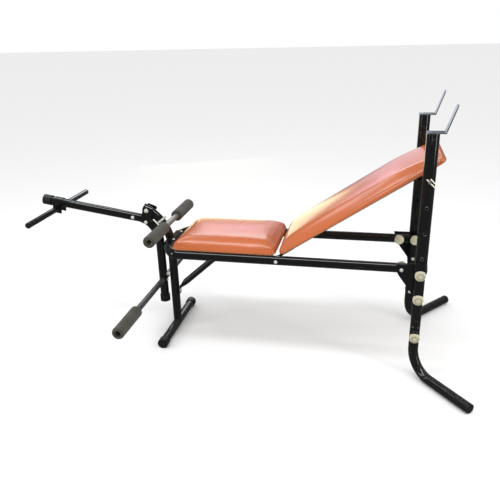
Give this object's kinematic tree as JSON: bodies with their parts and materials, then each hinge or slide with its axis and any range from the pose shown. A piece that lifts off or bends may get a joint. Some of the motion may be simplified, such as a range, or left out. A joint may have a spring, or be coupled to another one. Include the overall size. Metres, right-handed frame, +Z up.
{
  "type": "adjustable weight bench",
  "caption": "Weight training bench with a hinged backrest held by a sliding rod, bar catches on uprights, and a swinging leg lever with foam rollers and a plate-loading arm.",
  "frame": {"origin": "on the floor, under the middle of the bench's length and width", "axes": "+X from the leg lever to the uprights, +Y to the far side, +Z up"},
  "size_m": [1.8511, 1.006, 1.0472],
  "materials": {
    "frame_paint": "gloss black powder coat",
    "black_plastic": "moulded, semi-matte",
    "cream_plastic": "moulded, slightly glossy",
    "zinc_bolts": "zinc plated",
    "black_bolts": "black oxide",
    "zinc_plate": "blue-white zinc plate",
    "bare_steel": "bare drawn steel",
    "dark_steel": "dark satin steel",
    "board_wood": "raw particle board",
    "pad_vinyl": "glossy smooth vinyl",
    "roller_foam": "matte closed-cell foam"
  },
  "bodies": {
    "frame": {"front_leg": "frame_paint", "front_foot": "frame_paint", "front_foot_caps": "black_plastic", "rail_near": "frame_paint", "rail_far": "frame_paint", "rail_end_plugs": "black_plastic", "tie_plate": "frame_paint", "tie_plate_screws": "zinc_bolts", "seat_crossbar_front": "frame_paint", "seat_crossbar_rear": "frame_paint", "leg_brace": "frame_paint", "brace_bolts": "zinc_bolts", "seat_board": "board_wood", "seat_pad": "pad_vinyl", "seat_screws": "zinc_bolts", "gusset_near": "frame_paint", "gusset_far": "frame_paint", "lower_upright_near": "frame_paint", "lower_upright_far": "frame_paint", "rear_foot_caps": "black_plastic", "upper_upright_near": "frame_paint", "upper_upright_far": "frame_paint", "frame_bolts": "zinc_bolts", "bolt_caps": "cream_plastic", "bar_catch_near": "zinc_plate", "bar_catch_far": "zinc_plate", "catch_screws": "black_bolts", "upper_foam_bar": "bare_steel", "foam_bar_saddle": "frame_paint", "gooseneck_band": "zinc_bolts", "hinge_bolts": "zinc_bolts", "rest_stop": "zinc_bolts", "pivot_bush": "black_plastic"},
    "backrest": {"backrest_board": "board_wood", "backrest_pad": "pad_vinyl", "backrest_arm_near": "frame_paint", "backrest_arm_far": "frame_paint", "backrest_screws": "zinc_bolts"},
    "support_rod": {"support_rod": "bare_steel"},
    "rod_clip": {"rod_clip": "bare_steel"},
    "leg_lever": {"lever_tube": "frame_paint", "lever_end_cap": "black_plastic", "bracket_plate_near": "frame_paint", "bracket_plate_far": "frame_paint", "pivot_bolt": "zinc_bolts", "arm_spigot": "frame_paint", "weight_arm": "frame_paint", "weight_arm_cap": "black_plastic", "arm_bolts": "zinc_bolts", "weight_bar": "frame_paint", "weight_bar_plugs": "black_plastic", "weight_bar_strap": "frame_paint", "lower_foam_bar": "dark_steel", "lower_bar_bolt": "zinc_bolts"},
    "upper_roller_near": {"upper_roller_near": "roller_foam"},
    "upper_roller_far": {"upper_roller_far": "roller_foam"},
    "lower_roller_near": {"lower_roller_near": "roller_foam"},
    "lower_roller_far": {"lower_roller_far": "roller_foam"}
  },
  "joints": [
    {"name": "backrest_hinge", "type": "hinge", "parent": "frame", "child": "backrest", "pos_m": [0.16948, 0, 0.43], "axis": [0, -1, 0], "range_deg": [0, 5]},
    {"name": "rod_slide", "type": "slide", "parent": "frame", "child": "support_rod", "axis": [0, -1, 0], "range_m": [0, 0.42]},
    {"name": "clip_slide", "type": "slide", "parent": "support_rod", "child": "rod_clip", "axis": [0.7193, 0, -0.6947], "range_m": [0, 0.03]},
    {"name": "lever_hinge", "type": "hinge", "parent": "frame", "child": "leg_lever", "pos_m": [-0.42652, 0, 0.56828], "axis": [0, 1, 0], "range_deg": [0, 85]},
    {"name": "upper_roller_near_spin", "type": "hinge", "parent": "frame", "child": "upper_roller_near", "pos_m": [-0.32693, 0, 0.51721], "axis": [0, 1, 0], "continuous": true},
    {"name": "upper_roller_far_spin", "type": "hinge", "parent": "frame", "child": "upper_roller_far", "pos_m": [-0.32693, 0, 0.51721], "axis": [0, 1, 0], "continuous": true},
    {"name": "lower_roller_near_spin", "type": "hinge", "parent": "leg_lever", "child": "lower_roller_near", "pos_m": [-0.38352, 0, 0.236], "axis": [0, 1, 0], "continuous": true},
    {"name": "lower_roller_far_spin", "type": "hinge", "parent": "leg_lever", "child": "lower_roller_far", "pos_m": [-0.38352, 0, 0.236], "axis": [0, 1, 0], "continuous": true}
  ]
}
